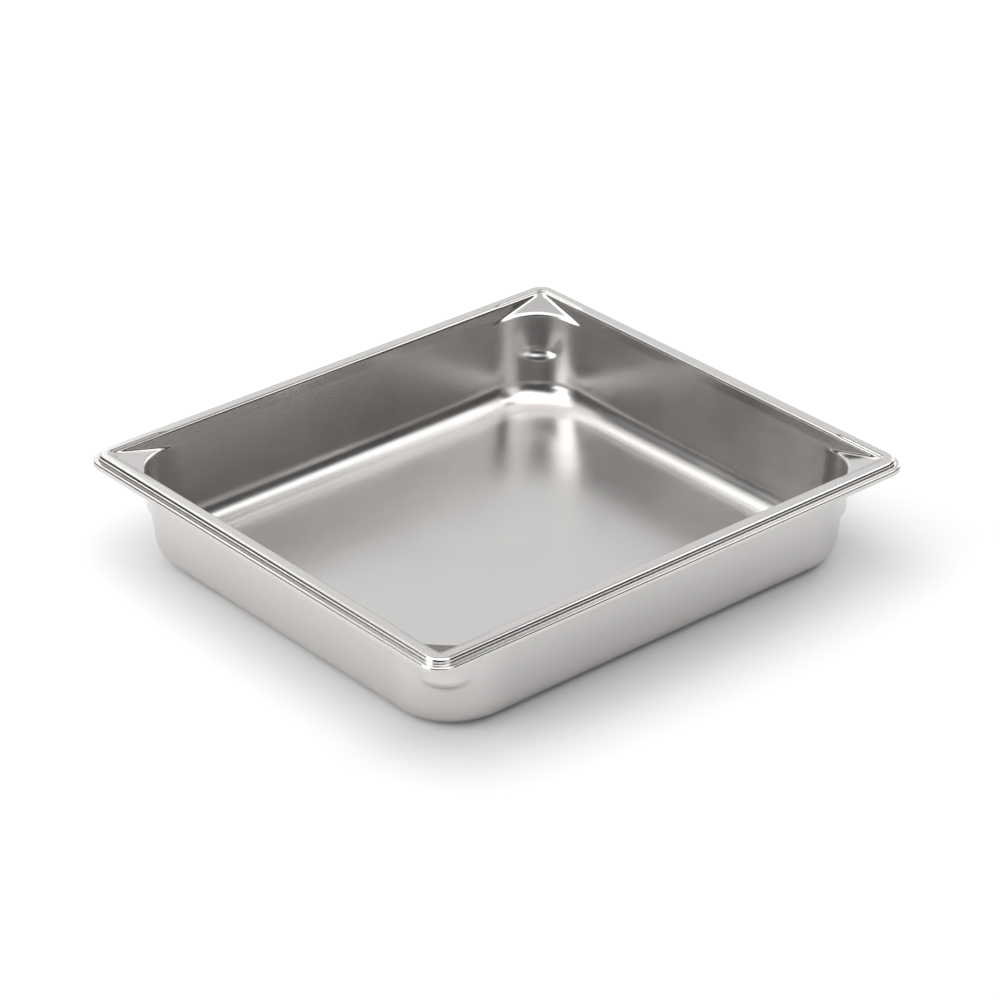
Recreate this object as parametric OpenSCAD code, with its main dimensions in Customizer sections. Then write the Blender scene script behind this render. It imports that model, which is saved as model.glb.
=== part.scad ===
// Shallow stainless food pan, two-thirds gastronorm size, pressed from one sheet.
// The origin is the centre of the flat base, +X along the long side, +Z up.
// A sheet face is given by its offset s outward from the face that holds the food:
// s = 0 is that inner face and s = sheet_t is the outer face.
// Sections are drawn across the wall line, which is the inner wall drawn on up to the rim:
// x is the distance outward from it and y is the height above the base.

/* [Overall] */
// Length over the lip
pan_length = 354; // [300:1:530]
// Width over the lip
pan_width = 325; // [265:1:400]
// Height from the base to the top of the rim
pan_height = 65; // [60:1:150]
// Thickness of the steel sheet
sheet_t = 0.8; // [0.6:0.1:1]

/* [Body] */
// Lean of the walls from upright, in degrees
wall_draft = 6; // [5:0.5:6.5]
// Inner radius of the upright corners, at the top
corner_r = 44.7; // [42:0.1:50]
// Outer radius between the walls and the base
base_r = 16; // [12:0.5:18]

/* [Rim] */
// Radius of the rim's corners, over the lip
rim_corner_r = 14; // [13.8:0.1:16]
// Width of the flat top of the rim, to the face of its skirt
rim_w = 7.1; // [6.5:0.1:7.5]
// Overhang of the lip beyond the skirt
lip_w = 3.5; // [3.2:0.1:4]
// Depth of the ledge below the top of the rim
ledge_drop = 3.5; // [3:0.1:4]
// Depth of the lip's edge below the top of the rim
lip_drop = 7; // [6.8:0.1:9]
// Radius of the hemmed bead along the lip's edge
bead_r = 0.95; // [0.9:0.05:1.1]
// How far the bead stands out beyond the lip
bead_step = 0.2; // [0.1:0.05:0.3]
// Radius of the bend from the rim into the wall, on its top face
bend_r = 2; // [1.6:0.1:2.4]
// Outer radius of the bend from the rim's top into the skirt
top_r = 2.1; // [1.2:0.1:2.2]
// Outer radius of the bend from the ledge into the lip
edge_r = 1.2; // [1:0.1:1.3]
// Radius in the angle between the skirt and the ledge
ledge_r = 0.6; // [0.4:0.1:0.7]

/* [Corner facets] */
// Slope of the flat facet across each corner, in degrees
facet_slope = 19; // [16:0.5:19.5]

/* [Stacking lugs] */
// Height of the foot of each lug's ledge above the base
lug_foot_z = 28; // [25:1:32]
// Rise of the slanting ledge under each lug
lug_ledge_h = 4.5; // [3.5:0.5:6]
// Height of each lug above its ledge
lug_h = 16; // [12:1:18]
// Bulge of each lug beyond the corner, at its ledge
lug_bulge = 2.8; // [2.2:0.1:3.4]
// Inner radius of each lug, at its ledge
lug_r = 19.2; // [17:0.1:22]
// How much smaller a lug's radius is at its top
lug_lean = 1.3; // [1:0.1:1.6]

/* [Hidden] */
$fn = 96;

// Places across the rim
flange_x = bend_r * (1 - sin(wall_draft)) / cos(wall_draft);
skirt_x = flange_x + rim_w;
lip_x = skirt_x + lip_w;
lip_face_x = lip_x - bead_step;
ledge_z = pan_height - ledge_drop;
lip_z = pan_height - lip_drop;

// Half sizes of the opening on the wall line, and the small radius of its corners there
half_x = pan_length / 2 - lip_x;
half_y = pan_width / 2 - lip_x;
open_r = rim_corner_r - lip_x;

// Foot of the square corners that stand above the facets
square_z = pan_height - open_r / tan(wall_draft) + 1;
// How far the round foot's sector goes past its centre, into the rest of the section
foot_lap = 2;
// How far the edge of the rim's flat top reaches into the bend, so that no slit is left there
rim_lap = 0.3;
// Length of a square corner, which stops just short of where the large round corner runs into
// the wall
joint_gap = 1;
square_l = corner_r - open_r - joint_gap;
// Distance of a facet's top point from the axis of the opening's corner
apex_x = open_r + flange_x;
// How far a section stops short of its corner's axis, where the middle of the body takes over
axis_gap = 0.1;
// Size of the block under a facet: inward, outward, sideways and down
wedge = [40, 15, 45, 25];

// A lug's heights, and the distance of its axis from the axis of its corner
lug_z = lug_foot_z + lug_ledge_h;
lug_axis = corner_r - (pan_height - lug_z) * tan(wall_draft) + lug_bulge - lug_r;
// How far the foot of the ledge lies behind the corner's own surface
lug_foot_sink = 0.5;

// Height that the food's side of a sheet face is drawn up to
function top_z(s) = pan_height + sheet_t - s;

// Distance of a sheet face from the wall line at height z
function wall_x(s, z) = s / cos(wall_draft) - (pan_height - z) * tan(wall_draft);

// The food's side of a sheet face, from close to the axis of the corner radius r out to the
// face. The points of the foot lead from the floor to the wall, and the inner face's side
// goes on up past the rim, so that it cuts the top open.
module body_section(s, r, foot) {
    bend = [flange_x, pan_height - bend_r];
    difference() {
        polygon(concat(
            [[axis_gap - r, foot[0][1]]], foot,
            [bend + (bend_r - s) * [-cos(wall_draft), sin(wall_draft)], bend],
            [[flange_x, top_z(s)], [axis_gap - r, top_z(s)]]
        ));
        translate(bend) circle(bend_r - s);
    }
}

// The same with a sharp foot at the height floor_z
module sharp_section(s, r, floor_z) {
    body_section(s, r, [[wall_x(s, floor_z), floor_z]]);
}

// The same down to the floor, with a round foot. The foot's sector of a circle laps over the rest.
module round_section(s, r) {
    foot_r = base_r - sheet_t + s;
    floor_z = sheet_t - s;
    foot_z = floor_z + foot_r;
    foot = [wall_x(s, foot_z) - foot_r / cos(wall_draft), foot_z];
    floor_end = [foot[0], floor_z];
    wall_end = foot + foot_r * [cos(wall_draft), -sin(wall_draft)];
    lap = foot + foot_lap * [-1, 1];
    body_section(s, r, [floor_end, foot, wall_end]);
    intersection() {
        translate(foot) circle(foot_r);
        polygon([lap, 2 * floor_end - lap, foot + 2 * foot_r * [1, -1], 2 * wall_end - lap]);
    }
}

// A quarter bend of the sheet with outer radius r, which starts at the angle from
module bend(r, from) {
    rotate(from) intersection() {
        difference() {
            circle(r);
            circle(r - sheet_t);
        }
        square(r);
    }
}

// The rim beyond the bend into the wall: flat top, skirt, ledge, lip and hemmed bead
module rim_section() {
    top_z = pan_height - top_r;
    foot_x = skirt_x + ledge_r;
    foot_z = ledge_z + ledge_r;
    turn_x = lip_face_x - edge_r;
    turn_z = ledge_z - edge_r;
    translate([flange_x, pan_height - sheet_t]) {
        square([skirt_x - top_r - flange_x, sheet_t]);
        polygon([[0, 0], [0, sheet_t], [-rim_lap, sheet_t / 2]]);
    }
    translate([skirt_x - top_r, top_z]) bend(top_r, 0);
    translate([skirt_x - sheet_t, foot_z]) square([sheet_t, top_z - foot_z]);
    translate([foot_x, foot_z]) bend(ledge_r + sheet_t, 180);
    translate([foot_x, ledge_z - sheet_t]) square([turn_x - foot_x, sheet_t]);
    translate([turn_x, turn_z]) bend(edge_r, 0);
    translate([lip_face_x - sheet_t, lip_z + bead_r]) square([sheet_t, turn_z - lip_z - bead_r]);
    translate([lip_x - bead_r, lip_z + bead_r]) circle(bead_r);
}

// Puts its children at each corner, on the axis of the corner radius r, with x outward
// along the first of the corner's two sides
module at_corners(r) {
    corners = [[1, 1], [-1, 1], [-1, -1], [1, -1]];
    for (i = [0:3])
        translate([corners[i][0] * (half_x - r), corners[i][1] * (half_y - r), 0])
            rotate(90 * i) children();
}

// Carries a section round the pan, with the corner radius r at the wall line
module turn(r) {
    for (side = [0, 1]) {
        mirror([side, 0, 0]) translate([half_x, half_y - r, 0]) rotate([90, 0, 0])
            linear_extrude(2 * (half_y - r)) children();
        mirror([0, side, 0]) translate([r - half_x, half_y, 0]) rotate([90, 0, 90])
            linear_extrude(2 * (half_x - r)) children();
    }
    at_corners(r) rotate_extrude(angle = 90) translate([r, 0]) children();
}

// The food's side of a sheet face below the facets, with the large round corners and a
// middle that reaches just past their axes
module round_body(s) {
    size = 2 * [half_x - corner_r + 2 * axis_gap, half_y - corner_r + 2 * axis_gap];
    floor_z = sheet_t - s;
    turn(corner_r) round_section(s, corner_r);
    translate([-size[0] / 2, -size[1] / 2, floor_z]) cube([size[0], size[1], top_z(s) - floor_z]);
}

// The food's side of a sheet face above the facets, where each corner is nearly square
module square_corners(s) {
    size = square_l + 2 * axis_gap;
    at_corners(open_r) difference() {
        union() {
            rotate_extrude(angle = 90) translate([open_r, 0]) sharp_section(s, open_r, square_z);
            translate([open_r, 0, 0]) rotate([90, 0, 0])
                linear_extrude(square_l) sharp_section(s, open_r, square_z);
            translate([-square_l, open_r, 0]) rotate([90, 0, 90])
                linear_extrude(square_l) sharp_section(s, open_r, square_z);
            translate([-square_l, -square_l, square_z]) cube([size, size, top_z(s) - square_z]);
        }
        rotate(45) translate([apex_x, 0, pan_height]) rotate([0, -facet_slope, 0])
            translate([-wedge[0], -wedge[2], -wedge[3] - s])
                cube([wedge[0] + wedge[1], 2 * wedge[2], wedge[3]]);
    }
}

// The bulge of the lugs behind a sheet face
module lugs(s) {
    foot_r = lug_r - lug_bulge - lug_foot_sink + s;
    at_corners(corner_r) rotate(45) translate([lug_axis, 0, lug_foot_z]) {
        cylinder(h = lug_ledge_h, r1 = foot_r, r2 = lug_r + s);
        translate([0, 0, lug_ledge_h]) cylinder(h = lug_h, r1 = lug_r + s, r2 = lug_r - lug_lean + s);
    }
}

// The pan, one pressed sheet from the base to the hem of the lip
module pan() {
    color("silver") {
        difference() {
            union() {
                round_body(sheet_t);
                square_corners(sheet_t);
                lugs(sheet_t);
            }
            round_body(0);
            square_corners(0);
            lugs(0);
        }
        turn(open_r) rim_section();
    }
}

pan();
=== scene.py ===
"""A shallow stainless food pan, pressed from one sheet, on a plain pale floor.

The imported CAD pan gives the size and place. This script builds the same pressed sheet as one
fine, rounded mesh, gives it a satin steel, and lights it like a catalogue picture.

A point of the pan is found from its station and its place in the section. A station is a ray in
plan: it starts on the axis of a round corner, or on the line that joins two such axes, and runs
outward across the wall. In the section, x is the distance outward from the wall line, which is
the inner face of the wall drawn on up to the rim, and z is the height above the base.
"""

import math

import bpy
import numpy as np
from mathutils import Matrix, Vector


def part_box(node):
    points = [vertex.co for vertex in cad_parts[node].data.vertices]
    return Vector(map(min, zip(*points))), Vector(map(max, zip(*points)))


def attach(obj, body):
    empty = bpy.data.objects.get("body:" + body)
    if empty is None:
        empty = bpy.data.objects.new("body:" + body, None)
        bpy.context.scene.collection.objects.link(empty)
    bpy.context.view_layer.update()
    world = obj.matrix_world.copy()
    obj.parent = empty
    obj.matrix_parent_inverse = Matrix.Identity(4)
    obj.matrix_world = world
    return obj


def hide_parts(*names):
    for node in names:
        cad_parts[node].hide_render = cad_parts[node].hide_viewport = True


MM = 0.001

# Section of the pressed sheet, in metres
SHEET = 0.8 * MM
DRAFT = math.radians(6)
CORNER_R = 44.7 * MM
BASE_R = 16 * MM
RIM_CORNER_R = 14 * MM
RIM_W = 7.1 * MM
LIP_W = 3.5 * MM
LEDGE_DROP = 3.5 * MM
LIP_DROP = 7 * MM
BEAD_R = 0.95 * MM
BEAD_STEP = 0.2 * MM
BEND_R = 2 * MM
TOP_R = 2.1 * MM
EDGE_R = 1.2 * MM
LEDGE_R = 0.6 * MM

# Facet across each corner, under the rim
FACET_SLOPE = math.radians(19)
FACET_EDGE = 1.4 * MM
FACET_CREASE = 0.9 * MM
# The edge's blend is at most this part of the facet's width
FACET_PART = 0.9

# Stacking lug in each corner
LUG_FOOT_Z = 28 * MM
LUG_LEDGE_H = 4.5 * MM
LUG_H = 16 * MM
LUG_BULGE = 2.8 * MM
LUG_R = 19.2 * MM
LUG_LEAN = 1.3 * MM
LUG_SINK = 0.5 * MM
LUG_EDGE = 1.6 * MM
LUG_BLEND = 1 * MM
# Growth of the blend above the ledge, per height
LUG_FADE = 0.3

# The rim is smoother than the rest: its part of the roughness, and how far down that goes
RIM_POLISH = 0.72
RIM_POLISH_DROP = 8.5 * MM

# Mesh density: segments round a corner, and along a long and a short side
CORNER_SEGMENTS = 72
LONG_SEGMENTS = 22
SHORT_SEGMENTS = 20
# Parts of a corner's rays that are spread evenly and that crowd round the diagonal
EVEN_PART = 0.42
CROWDED_PART = 0.58
# How far the close rings of the wall reach: below and above the foot of a lug, and below the bend
LUG_RINGS_BELOW = 3 * MM
LUG_RINGS_ABOVE = 8 * MM
FACET_RINGS_BELOW = 12 * MM
# How often solve halves its range, and the range of reach along a corner's ray that it searches
SOLVE_STEPS = 40
NEAR_REACH = 0.5 * CORNER_R
FAR_REACH = 1.8 * CORNER_R
# How far above and below the top of the rim the bend is searched for
BEND_ABOVE = 1 * MM
BEND_BELOW = 10 * MM

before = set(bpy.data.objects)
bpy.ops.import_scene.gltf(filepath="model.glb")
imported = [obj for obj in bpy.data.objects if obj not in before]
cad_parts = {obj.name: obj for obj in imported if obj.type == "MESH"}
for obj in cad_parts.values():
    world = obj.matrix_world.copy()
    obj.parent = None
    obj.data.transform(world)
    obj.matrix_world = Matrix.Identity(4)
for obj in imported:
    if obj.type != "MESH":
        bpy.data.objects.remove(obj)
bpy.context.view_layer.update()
pan_low, pan_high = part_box("pan")
HEIGHT = pan_high.z - pan_low.z

# Places across the rim, and the opening's half sizes and corner radius on the wall line
FLANGE_X = BEND_R * (1 - math.sin(DRAFT)) / math.cos(DRAFT)
SKIRT_X = FLANGE_X + RIM_W
LIP_X = SKIRT_X + LIP_W
HALF_X = (pan_high.x - pan_low.x) / 2 - LIP_X
HALF_Y = (pan_high.y - pan_low.y) / 2 - LIP_X
OPEN_R = RIM_CORNER_R - LIP_X
OPEN_AXIS = CORNER_R - OPEN_R


def wall_x(s, z):
    """Section x of the wall, for the sheet face that lies s outward from the inner one."""
    return s / math.cos(DRAFT) - (HEIGHT - z) * math.tan(DRAFT)


def smooth_min(a, b, blend):
    """Lower of two distances, rounded where they are within blend of each other."""
    near = np.maximum(blend - np.abs(a - b), 0)
    return np.minimum(a, b) - near * near / (4 * np.maximum(blend, 1e-9))


def smooth_max(a, b, blend):
    return -smooth_min(-a, -b, blend)


def wall_distance(s, x, z):
    """Distance into the steel from the wall and its bend into the rim, for a section point."""
    bend_z = HEIGHT - BEND_R
    bend_r = BEND_R - s
    wall = (x - wall_x(s, z)) * math.cos(DRAFT)
    bend = bend_r - np.hypot(x - FLANGE_X, z - bend_z)
    top = np.where(x < FLANGE_X, bend, bend_z + bend_r - z)
    return np.where(z < bend_z + bend_r * math.sin(DRAFT), wall, top)


def rim_offset(reach, angle):
    """Section x of a point at reach along a corner's ray, for the small corner of the rim."""
    across = reach * np.cos(angle)
    along = reach * np.sin(angle)
    round_x = np.hypot(across - OPEN_AXIS, along - OPEN_AXIS) - OPEN_R
    flat_x = np.maximum(across, along) - CORNER_R
    return np.where(np.minimum(across, along) > OPEN_AXIS, round_x, flat_x)


def rim_reach(x, angle):
    """How far along a corner's ray the rim's curve at section x lies."""
    fold = np.minimum(angle, math.pi / 2 - angle)
    flat = (CORNER_R + x) / np.cos(fold)
    radius = np.maximum(OPEN_R + x, 0)
    centre = OPEN_AXIS * math.sqrt(2)
    turn = math.pi / 4 - fold
    inside = np.maximum(radius ** 2 - (centre * np.sin(turn)) ** 2, 0)
    rounded = centre * np.cos(turn) + np.sqrt(inside)
    return np.where(flat * np.sin(fold) > OPEN_AXIS, rounded, flat)


def corner_distance(s, reach, z, angle):
    """Distance into the steel from the sheet face s in a corner: wall, facet and lug."""
    diagonal = reach * np.cos(angle - math.pi / 4)
    sideways = reach * np.sin(angle - math.pi / 4)
    square = wall_distance(s, rim_offset(reach, angle), z)
    facet_top = HEIGHT - s / math.cos(FACET_SLOPE)
    apex = OPEN_AXIS * math.sqrt(2) + OPEN_R + FLANGE_X
    facet_z = facet_top - (apex - diagonal) * math.tan(FACET_SLOPE)
    facet = (facet_z - z) * math.cos(FACET_SLOPE)
    above = smooth_max(square, facet, FACET_CREASE)
    body = wall_distance(s, reach - CORNER_R, z)
    facet_width = rim_reach(wall_x(s, z), angle) - CORNER_R - wall_x(s, z)
    edge_blend = np.clip(FACET_PART * facet_width, 1e-6, FACET_EDGE)
    steel = smooth_min(body, above, edge_blend)

    ledge_z = LUG_FOOT_Z + LUG_LEDGE_H
    axis = CORNER_R - (HEIGHT - ledge_z) * math.tan(DRAFT) + LUG_BULGE - LUG_R
    from_axis = np.hypot(diagonal - axis, sideways)
    foot_r = LUG_R - LUG_BULGE - LUG_SINK + s
    ledge_slope = (LUG_R + s - foot_r) / LUG_LEDGE_H
    face_slope = -LUG_LEAN / LUG_H
    ledge = (from_axis - foot_r - (z - LUG_FOOT_Z) * ledge_slope) / math.hypot(1, ledge_slope)
    face = (from_axis - LUG_R - s - (z - ledge_z) * face_slope) / math.hypot(1, face_slope)
    lug = smooth_max(ledge, face, LUG_EDGE)
    return smooth_min(steel, lug, LUG_BLEND + LUG_FADE * np.clip(z - ledge_z, 0, LUG_H / 2))


def solve(distance, low, high):
    """Where distance crosses zero between low, on the food's side, and high, in the steel."""
    for _ in range(SOLVE_STEPS):
        middle = (low + high) / 2
        steel = distance(middle) > 0
        high = np.where(steel, middle, high)
        low = np.where(steel, low, middle)
    return (low + high) / 2


def corner_angles():
    """Angles of a corner's rays, closer together near the diagonal, where the rim turns."""
    steps = np.linspace(-1, 1, CORNER_SEGMENTS + 1)
    return math.pi / 4 * (1 + EVEN_PART * steps + CROWDED_PART * steps ** 3)


def stations():
    """Starts, directions and corner angles of the rays round the pan. A side's angle is zero."""
    starts, headings, angles = [], [], []
    core_x, core_y = HALF_X - CORNER_R, HALF_Y - CORNER_R
    corners = [(1, 1), (-1, 1), (-1, -1), (1, -1)]
    for i, (sign_x, sign_y) in enumerate(corners):
        here = np.array([sign_x * core_x, sign_y * core_y])
        after = np.array(corners[(i + 1) % 4]) * [core_x, core_y]
        for angle in corner_angles():
            starts.append(here)
            headings.append(angle + i * math.pi / 2)
            angles.append(angle)
        segments = LONG_SEGMENTS if i % 2 == 0 else SHORT_SEGMENTS
        for step in range(1, segments):
            starts.append(here + (after - here) * step / segments)
            headings.append((i + 1) * math.pi / 2)
            angles.append(0.0)
    headings = np.array(headings)
    directions = np.stack([np.cos(headings), np.sin(headings)], axis=1)
    return np.array(starts), directions, np.array(angles)


def arc(centre, radius, start, end, count):
    """Section points on an arc, with angles in degrees from +x, both ends included."""
    turn = np.radians(np.linspace(start, end, count))
    return [(centre[0] + radius * math.cos(t), centre[1] + radius * math.sin(t)) for t in turn]


def rim_outline():
    """Section points of the rim, from its flat top over skirt, ledge, lip and bead to below."""
    face_x = LIP_X - BEAD_STEP
    ledge_z = HEIGHT - LEDGE_DROP
    lip_z = HEIGHT - LIP_DROP
    top_turn = (SKIRT_X - TOP_R, HEIGHT - TOP_R)
    foot_turn = (SKIRT_X + LEDGE_R, ledge_z + LEDGE_R)
    lip_turn = (face_x - EDGE_R, ledge_z - EDGE_R)
    bead = (LIP_X - BEAD_R, lip_z + BEAD_R)
    bead_start = math.degrees(math.acos((face_x - bead[0]) / BEAD_R))
    bead_end = math.degrees(math.acos((face_x - SHEET - bead[0]) / BEAD_R)) - 360
    flat = [(FLANGE_X + RIM_W * part, HEIGHT) for part in (0.04, 0.3, 0.6)]
    below = [(x, HEIGHT - SHEET) for x, _ in reversed(flat)]
    return (
        flat
        + arc(top_turn, TOP_R, 90, 0, 9)
        + arc(foot_turn, LEDGE_R, 180, 270, 5)
        + arc(lip_turn, EDGE_R, 90, 0, 7)
        + arc(bead, BEAD_R, bead_start, bead_end, 12)
        + arc(lip_turn, EDGE_R - SHEET, 0, 90, 4)
        + arc(foot_turn, LEDGE_R + SHEET, 270, 180, 5)
        + arc(top_turn, TOP_R - SHEET, 0, 90, 5)
        + below
    )


def wall_levels():
    """Heights of the rings up the wall, closer together at the lug and the facets."""
    touch_z = BASE_R - BASE_R * math.sin(DRAFT)
    bend_z = HEIGHT - BEND_R
    lug_low = LUG_FOOT_Z - LUG_RINGS_BELOW
    lug_high = LUG_FOOT_Z + LUG_RINGS_ABOVE
    facet_low = bend_z - FACET_RINGS_BELOW
    return np.concatenate([
        np.linspace(touch_z + 2 * MM, lug_low, 4, endpoint=False),
        np.linspace(lug_low, lug_high, 20, endpoint=False),
        np.linspace(lug_high, facet_low, 7, endpoint=False),
        np.linspace(facet_low, bend_z - 0.1 * MM, 29),
    ])


def face_rings(s, place):
    """Rings of the sheet face s from the edge of the floor up to the rim."""
    starts, directions, angles = place
    corner = angles > 0
    turn = angles[corner]
    rings = []

    def add(side_reach, corner_reach, side_z, corner_z):
        reach = np.full(len(angles), side_reach)
        height = np.full(len(angles), side_z)
        reach[corner] = corner_reach
        height[corner] = corner_z
        plan = starts + directions * reach[:, None]
        rings.append(np.column_stack([plan, height]))

    foot_r = BASE_R - SHEET + s
    foot_z = SHEET - s + foot_r
    foot_x = wall_x(s, foot_z) - foot_r / math.cos(DRAFT)
    for x, z in arc((foot_x, foot_z), foot_r, -90, -math.degrees(DRAFT), 15):
        add(CORNER_R + x, CORNER_R + x, z, z)
    for z in wall_levels():
        found = solve(
            lambda reach: corner_distance(s, reach, z, turn),
            np.full(len(turn), NEAR_REACH), np.full(len(turn), FAR_REACH),
        )
        add(CORNER_R + wall_x(s, z), found, z, z)
    bend_z = HEIGHT - BEND_R
    for x, z in arc((FLANGE_X, bend_z), BEND_R - s, 180 - math.degrees(DRAFT), 90, 8):
        reach = rim_reach(x, turn)
        found = solve(
            lambda depth: corner_distance(s, reach, -depth, turn),
            np.full(len(turn), -HEIGHT - BEND_ABOVE), np.full(len(turn), BEND_BELOW - HEIGHT),
        )
        add(CORNER_R + x, reach, z, -found)
    return rings


def rim_rings(place):
    """Rings of the rim, in the order of its outline."""
    starts, directions, angles = place
    rings = []
    for x, z in rim_outline():
        reach = np.where(angles > 0, rim_reach(x, angles), CORNER_R + x)
        plan = starts + directions * reach[:, None]
        rings.append(np.column_stack([plan, np.full(len(angles), z)]))
    return rings


def floor_grid(ring):
    """Points of a flat floor inside a ring, as rows that run between the corners' middles."""
    count = len(ring)
    rows = SHORT_SEGMENTS + CORNER_SEGMENTS
    columns = LONG_SEGMENTS + CORNER_SEGMENTS
    first = CORNER_SEGMENTS // 2
    index = (first + np.arange(count)) % count
    top = index[:columns + 1]
    left = index[columns:columns + rows + 1]
    bottom = index[columns + rows:2 * columns + rows + 1][::-1]
    right = np.append(index[2 * columns + rows:], index[0])[::-1]
    u = np.linspace(0, 1, columns + 1)[None, :, None]
    v = np.linspace(0, 1, rows + 1)[:, None, None]
    blend_v = (1 - v) * ring[top][None] + v * ring[bottom][None]
    blend_u = (1 - u) * ring[right][:, None] + u * ring[left][:, None]
    corners = (
        (1 - u) * (1 - v) * ring[top[0]] + u * (1 - v) * ring[top[-1]]
        + (1 - u) * v * ring[bottom[0]] + u * v * ring[bottom[-1]]
    )
    edges = {"top": top, "left": left, "bottom": bottom, "right": right}
    return blend_u + blend_v - corners, edges


def grid_faces(grid, edges, ring_start, inner_start):
    """Quads of a floor. Its edge uses the ring's points, and the rest are new ones."""
    rows, columns = grid.shape[:2]
    index = np.empty((rows, columns), int)
    index[1:-1, 1:-1] = inner_start + np.arange((rows - 2) * (columns - 2)).reshape(rows - 2, -1)
    index[0] = ring_start + edges["top"]
    index[-1] = ring_start + edges["bottom"]
    index[:, -1] = ring_start + edges["left"]
    index[:, 0] = ring_start + edges["right"]
    quads = [index[:-1, :-1], index[:-1, 1:], index[1:, 1:], index[1:, :-1]]
    return np.stack(quads, axis=-1).reshape(-1, 4)


def pressed_sheet():
    """The pan's mesh: inner face, rim and outer face, closed by the two sides of the floor."""
    place = stations()
    inner = face_rings(0.0, place)
    outer = face_rings(SHEET, place)
    rings = np.array(inner + rim_rings(place) + outer[::-1])
    levels, count = rings.shape[:2]
    around = np.arange(count)
    after = (around + 1) % count
    faces = [
        np.stack([level * count + around, (level + 1) * count + around,
                  (level + 1) * count + after, level * count + after], axis=1)
        for level in range(levels - 1)
    ]
    points = rings.reshape(-1, 3)
    for level, flip in ((0, False), (levels - 1, True)):
        grid, edges = floor_grid(rings[level])
        quads = grid_faces(grid, edges, level * count, len(points))
        faces.append(quads[:, ::-1] if flip else quads)
        points = np.vstack([points, grid[1:-1, 1:-1].reshape(-1, 3)])
    mesh = bpy.data.meshes.new("pan_sheet")
    mesh.from_pydata(points.tolist(), [], np.vstack(faces).tolist())
    mesh.shade_smooth()
    mesh.update()
    return mesh


def add_to_scene(name, data):
    thing = bpy.data.objects.new(name, data)
    bpy.context.scene.collection.objects.link(thing)
    return thing


def noise(nodes, links, place, scale, detail):
    """A noise of the given scale, per metre, in the pan's own coordinates."""
    texture = nodes.new("ShaderNodeTexNoise")
    texture.inputs["Scale"].default_value = scale
    texture.inputs["Detail"].default_value = detail
    links.new(place.outputs["Object"], texture.inputs["Vector"])
    return texture


def bump(nodes, links, texture, height, under):
    """A relief of the given height, in metres, laid over the normal of another one."""
    relief = nodes.new("ShaderNodeBump")
    relief.inputs["Distance"].default_value = height
    links.new(texture.outputs["Fac"], relief.inputs["Height"])
    if under:
        links.new(under.outputs["Normal"], relief.inputs["Normal"])
    return relief


def carried(nodes, links, value, source, target):
    """A value carried from the source range to the target range."""
    node = nodes.new("ShaderNodeMapRange")
    node.inputs["From Min"].default_value = source[0]
    node.inputs["From Max"].default_value = source[1]
    node.inputs["To Min"].default_value = target[0]
    node.inputs["To Max"].default_value = target[1]
    links.new(value, node.inputs["Value"])
    return node


# Colour of the steel, its roughness where the cloudy noise runs over its middle range, and the
# height from which the rim is polished, over a short fade
STEEL_COLOUR = (0.645, 0.63, 0.618, 1)
CLOUD_RANGE = (0.3, 0.7)
ROUGHNESS_RANGE = (0.22, 0.27)
POLISH_Z = HEIGHT - RIM_POLISH_DROP
POLISH_FADE = 2 * MM
# Scales of the noises, per metre, and heights of the two reliefs
CLOUD_SCALE = 22
WAVE_SCALE = 14
WAVE_HEIGHT = 0.3 * MM
GRAIN_SCALE = 1500
GRAIN_HEIGHT = 0.003 * MM


def steel():
    """Satin stainless steel: cloudy gloss, a fine grain and walls that are not quite flat."""
    material = bpy.data.materials.new("satin_steel")
    material.use_nodes = True
    nodes, links = material.node_tree.nodes, material.node_tree.links
    shader = nodes["Principled BSDF"]
    shader.inputs["Base Color"].default_value = STEEL_COLOUR
    shader.inputs["Metallic"].default_value = 1
    place = nodes.new("ShaderNodeTexCoord")

    cloud = noise(nodes, links, place, CLOUD_SCALE, 4)
    gloss = carried(nodes, links, cloud.outputs["Fac"], CLOUD_RANGE, ROUGHNESS_RANGE)
    height = nodes.new("ShaderNodeSeparateXYZ")
    links.new(place.outputs["Object"], height.inputs["Vector"])
    fade = (POLISH_Z, POLISH_Z + POLISH_FADE)
    polish = carried(nodes, links, height.outputs["Z"], fade, (1, RIM_POLISH))
    roughness = nodes.new("ShaderNodeMath")
    roughness.operation = "MULTIPLY"
    links.new(gloss.outputs["Result"], roughness.inputs[0])
    links.new(polish.outputs["Result"], roughness.inputs[1])
    links.new(roughness.outputs["Value"], shader.inputs["Roughness"])

    waves = bump(nodes, links, noise(nodes, links, place, WAVE_SCALE, 0), WAVE_HEIGHT, None)
    grain = bump(nodes, links, noise(nodes, links, place, GRAIN_SCALE, 1), GRAIN_HEIGHT, waves)
    links.new(grain.outputs["Normal"], shader.inputs["Normal"])
    return material


def pan():
    """The pan as one piece, in the place of the CAD pan."""
    piece = add_to_scene("pressed_pan", pressed_sheet())
    piece.data.materials.append(steel())
    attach(piece, "root")
    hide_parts("pan")


# Camera, by its direction from the pan, its roll, and how far the view is centred off the origin
CAMERA_AZIMUTH = math.radians(-39.81)
CAMERA_ELEVATION = math.radians(28.58)
CAMERA_ROLL = math.radians(-0.8)
CAMERA_DISTANCE = 2165 * MM
CAMERA_RIGHT = 2.06 * MM
CAMERA_UP = 31.05 * MM
CAMERA_LENS = 132.56
CAMERA_SENSOR = 36
CAMERA_FAR = 50


def direction(azimuth, elevation):
    """Unit vector from the pan, with azimuth 0 in front of it, at -Y, and growing towards +X."""
    level = math.cos(elevation)
    return Vector((math.sin(azimuth) * level, -math.cos(azimuth) * level, math.sin(elevation)))


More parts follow.
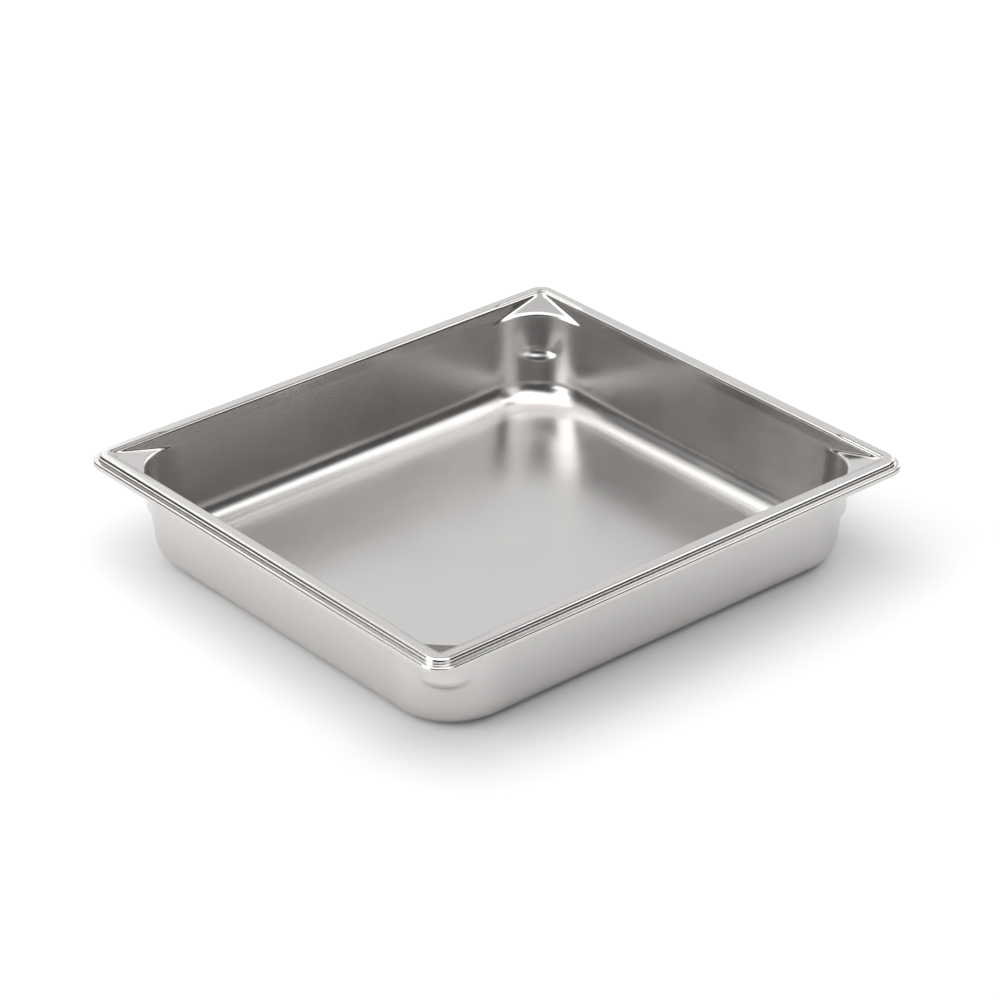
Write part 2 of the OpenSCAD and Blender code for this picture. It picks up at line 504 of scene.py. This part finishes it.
def camera():
    back = direction(CAMERA_AZIMUTH, CAMERA_ELEVATION)
    level = Vector((math.cos(CAMERA_AZIMUTH), math.sin(CAMERA_AZIMUTH), 0))
    upright = back.cross(level)
    roll_cos, roll_sin = math.cos(CAMERA_ROLL), math.sin(CAMERA_ROLL)
    right = level * roll_cos + upright * roll_sin
    up = upright * roll_cos - level * roll_sin
    data = bpy.data.cameras.new("camera")
    data.lens = CAMERA_LENS
    data.sensor_width = CAMERA_SENSOR
    data.clip_end = CAMERA_FAR
    view = add_to_scene("camera", data)
    turned = Matrix((right, up, back)).transposed().to_4x4()
    turned.translation = back * CAMERA_DISTANCE + right * CAMERA_RIGHT + up * CAMERA_UP
    view.matrix_world = turned
    bpy.context.scene.camera = view


# Floor: half its side, its height a hair below the base so that the two don't share a plane, and
# its paint
FLOOR_HALF = 6.0
FLOOR_Z = -0.05 * MM
FLOOR_COLOUR = (0.87, 0.87, 0.87, 1)
FLOOR_ROUGHNESS = 0.8


def floor():
    """A plain pale floor."""
    mesh = bpy.data.meshes.new("floor")
    signs = [(-1, -1), (1, -1), (1, 1), (-1, 1)]
    mesh.from_pydata([(x * FLOOR_HALF, y * FLOOR_HALF, FLOOR_Z) for x, y in signs], [], [(0, 1, 2, 3)])
    ground = add_to_scene("floor", mesh)
    material = bpy.data.materials.new("floor_paint")
    material.use_nodes = True
    shader = material.node_tree.nodes["Principled BSDF"]
    shader.inputs["Base Color"].default_value = FLOOR_COLOUR
    shader.inputs["Roughness"].default_value = FLOOR_ROUGHNESS
    mesh.materials.append(material)


# Softboxes that face the pan: azimuth and elevation in degrees, as the camera's are, distance,
# width and height in metres, and power in watts
SOFTBOXES = {
    "overhead": (290, 79, 2.5, 4.0, 2.9, 65.9),
    "overhead_right": (132, 66, 2.6, 1.4, 0.8, 2.6),
    "overhead_back": (190, 52, 2.6, 2.0, 0.9, 5.7),
    "left": (250, 34, 2.4, 1.4, 1.1, 13.5),
    "left_low": (262, 10, 2.4, 1.4, 0.9, 16.0),
    "right_high": (76, 47, 2.4, 2.0, 1.0, 11.0),
    "right": (102, 24, 2.4, 1.1, 0.8, 5.8),
    "right_low": (105, 7, 2.6, 1.4, 0.7, 4.6),
    "back": (170, 30, 2.6, 1.4, 1.4, 6.9),
    "back_low": (175, 7, 2.6, 1.8, 0.7, 4.8),
    "back_right": (137, 33, 2.6, 1.6, 1.1, 5.0),
    "back_right_low": (137, 10, 2.6, 1.7, 1.0, 4.6),
    "front_right": (3, 37, 2.4, 0.9, 2.0, 6.7),
    "low_right": (355, 6, 2.8, 1.2, 0.8, 2.2),
    "low_left": (222, 3, 2.8, 1.8, 0.3, 4.5),
}
# Light of the room itself, from all round
ROOM_COLOUR = (0.04, 0.04, 0.04, 1)


def lights():
    for name, (azimuth, elevation, distance, width, height, power) in SOFTBOXES.items():
        out = direction(math.radians(azimuth), math.radians(elevation))
        data = bpy.data.lights.new(name, "AREA")
        data.shape = "RECTANGLE"
        data.size, data.size_y = width, height
        data.energy = power
        light = add_to_scene(name, data)
        light.rotation_mode = "QUATERNION"
        light.rotation_quaternion = out.to_track_quat("Z", "Y")
        light.location = out * distance
    world = bpy.data.worlds.new("room")
    world.use_nodes = True
    world.node_tree.nodes["Background"].inputs["Color"].default_value = ROOM_COLOUR
    bpy.context.scene.world = world


camera()
floor()
lights()
pan()
bpy.context.scene.view_settings.view_transform = "Standard"
